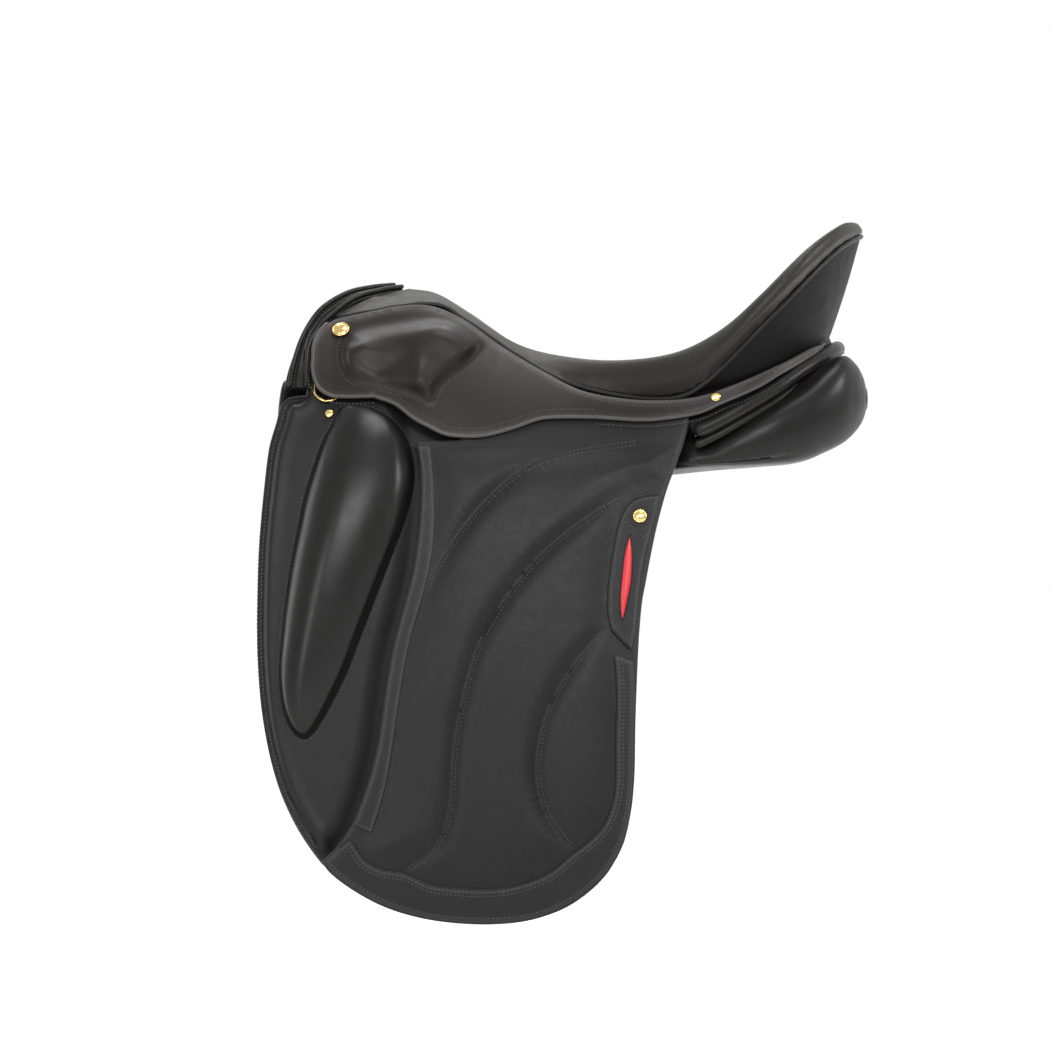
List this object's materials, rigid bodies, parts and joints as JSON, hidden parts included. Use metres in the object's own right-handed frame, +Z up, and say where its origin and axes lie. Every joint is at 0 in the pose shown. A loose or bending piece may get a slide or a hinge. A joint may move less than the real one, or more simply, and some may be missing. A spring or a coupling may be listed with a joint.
{
  "type": "english saddle",
  "caption": "Black leather dressage saddle with deep seat, high cantle, thigh blocks, quilted long flaps, lifting skirts and girth straps.",
  "frame": {"origin": "on the centre plane, in the channel between the panels over the horse's back; the lowest point of the seat's seam is 61 mm above it and the flaps' hem 384 mm below it", "axes": "+X from the pommel to the cantle, +Y from the near side to the off side, +Z up"},
  "size_m": [0.5133, 0.4056, 0.5924],
  "materials": {
    "seat_leather": "soft sheen over padded foam",
    "skirt_leather": "satin, brownish black",
    "flap_leather": "matt, fine grain",
    "block_leather": "smooth, semi gloss",
    "trim_leather": "satin",
    "panel_leather": "soft, satin",
    "strap_leather": "satin, waxed",
    "red_leather": "glossy patent",
    "foam": "matt",
    "webbing": "woven",
    "tree_wood": "laminated, varnished",
    "steel": "brushed",
    "brass": "polished, pale gold"
  },
  "bodies": {
    "saddle": {"tree": "tree_wood", "gullet_plate": "steel", "seat_web": "webbing", "seat_foam": "foam", "seat_leather": "seat_leather", "seat_piping": "trim_leather", "cantle_facing": "skirt_leather", "pommel_facing": "trim_leather", "pommel_welt_outer": "trim_leather", "pommel_welt_inner": "trim_leather", "back_roll": "trim_leather", "back_welt": "trim_leather", "skirt_head_L": "skirt_leather", "skirt_head_R": "skirt_leather", "flap_head_L": "flap_leather", "flap_head_R": "flap_leather", "skirt_stud_L": "brass", "skirt_stud_R": "brass", "tail_nail_L": "brass", "tail_nail_R": "brass", "front_nail_L": "brass", "front_nail_R": "brass", "sweat_flap_L": "flap_leather", "sweat_flap_R": "flap_leather", "thigh_block_L": "block_leather", "thigh_block_R": "block_leather", "panel_L": "panel_leather", "panel_R": "panel_leather", "stirrup_bar_L": "steel", "stirrup_bar_R": "steel", "dee_tab_L": "strap_leather", "dee_tab_R": "strap_leather", "girth_web_front_L": "webbing", "girth_web_front_R": "webbing", "girth_web_rear_L": "webbing", "girth_web_rear_R": "webbing"},
    "skirt_near": {"skirt_L": "skirt_leather"},
    "skirt_off": {"skirt_R": "skirt_leather"},
    "flap_near": {"flap_L": "flap_leather", "flap_strip_L": "trim_leather", "flap_band_L": "trim_leather", "keeper_L": "trim_leather", "keeper_inset_L": "red_leather", "keeper_stud_L": "brass"},
    "flap_off": {"flap_R": "flap_leather", "flap_strip_R": "trim_leather", "flap_band_R": "trim_leather", "keeper_R": "trim_leather", "keeper_inset_R": "red_leather", "keeper_stud_R": "brass"},
    "catch_near": {"bar_catch_L": "steel"},
    "catch_off": {"bar_catch_R": "steel"},
    "dee_near": {"dee_L": "brass"},
    "dee_off": {"dee_R": "brass"},
    "strap_front_near": {"girth_strap_front_L": "strap_leather"},
    "strap_front_off": {"girth_strap_front_R": "strap_leather"},
    "strap_rear_near": {"girth_strap_rear_L": "strap_leather"},
    "strap_rear_off": {"girth_strap_rear_R": "strap_leather"}
  },
  "joints": [
    {"name": "flap_lift_near", "type": "hinge", "parent": "saddle", "child": "flap_near", "pos_m": [-0.0415, -0.134, 0.0265], "axis": [-0.9992, 0, -0.0393], "range_deg": [0, 75]},
    {"name": "flap_lift_off", "type": "hinge", "parent": "saddle", "child": "flap_off", "pos_m": [-0.0415, 0.134, 0.0265], "axis": [0.9992, 0, 0.0393], "range_deg": [0, 75]},
    {"name": "skirt_lift_near", "type": "hinge", "parent": "saddle", "child": "skirt_near", "pos_m": [-0.0978, -0.119, 0.0708], "axis": [-0.9581, -0.0273, 0.2851], "range_deg": [0, 40], "stiffness_Nm_per_rad": 0.4, "springref_deg": -17.19},
    {"name": "skirt_lift_off", "type": "hinge", "parent": "saddle", "child": "skirt_off", "pos_m": [-0.0978, 0.119, 0.0708], "axis": [0.9581, -0.0273, -0.2851], "range_deg": [0, 40], "stiffness_Nm_per_rad": 0.4, "springref_deg": -17.19},
    {"name": "catch_turn_near", "type": "hinge", "parent": "saddle", "child": "catch_near", "pos_m": [-0.1266, -0.0925, 0.0771], "axis": [0, -1, 0], "range_deg": [0, 60]},
    {"name": "catch_turn_off", "type": "hinge", "parent": "saddle", "child": "catch_off", "pos_m": [-0.1266, 0.0925, 0.0771], "axis": [0, -1, 0], "range_deg": [0, 60]},
    {"name": "dee_swing_near", "type": "hinge", "parent": "saddle", "child": "dee_near", "pos_m": [-0.2298, -0.1005, 0.0733], "axis": [-1, 0, 0], "range_deg": [0, 4]},
    {"name": "dee_swing_off", "type": "hinge", "parent": "saddle", "child": "dee_off", "pos_m": [-0.2298, 0.1005, 0.0733], "axis": [1, 0, 0], "range_deg": [0, 4]},
    {"name": "strap_front_swing_near", "type": "hinge", "parent": "saddle", "child": "strap_front_near", "pos_m": [-0.0953, -0.125, 0.016], "axis": [0, 1, 0], "range_deg": [-2, 6]},
    {"name": "strap_front_swing_off", "type": "hinge", "parent": "saddle", "child": "strap_front_off", "pos_m": [-0.0953, 0.125, 0.016], "axis": [0, 1, 0], "range_deg": [-2, 6]},
    {"name": "strap_rear_swing_near", "type": "hinge", "parent": "saddle", "child": "strap_rear_near", "pos_m": [-0.0371, -0.125, 0.016], "axis": [0, 1, 0], "range_deg": [-6, 2]},
    {"name": "strap_rear_swing_off", "type": "hinge", "parent": "saddle", "child": "strap_rear_off", "pos_m": [-0.0371, 0.125, 0.016], "axis": [0, 1, 0], "range_deg": [-6, 2]}
  ]
}
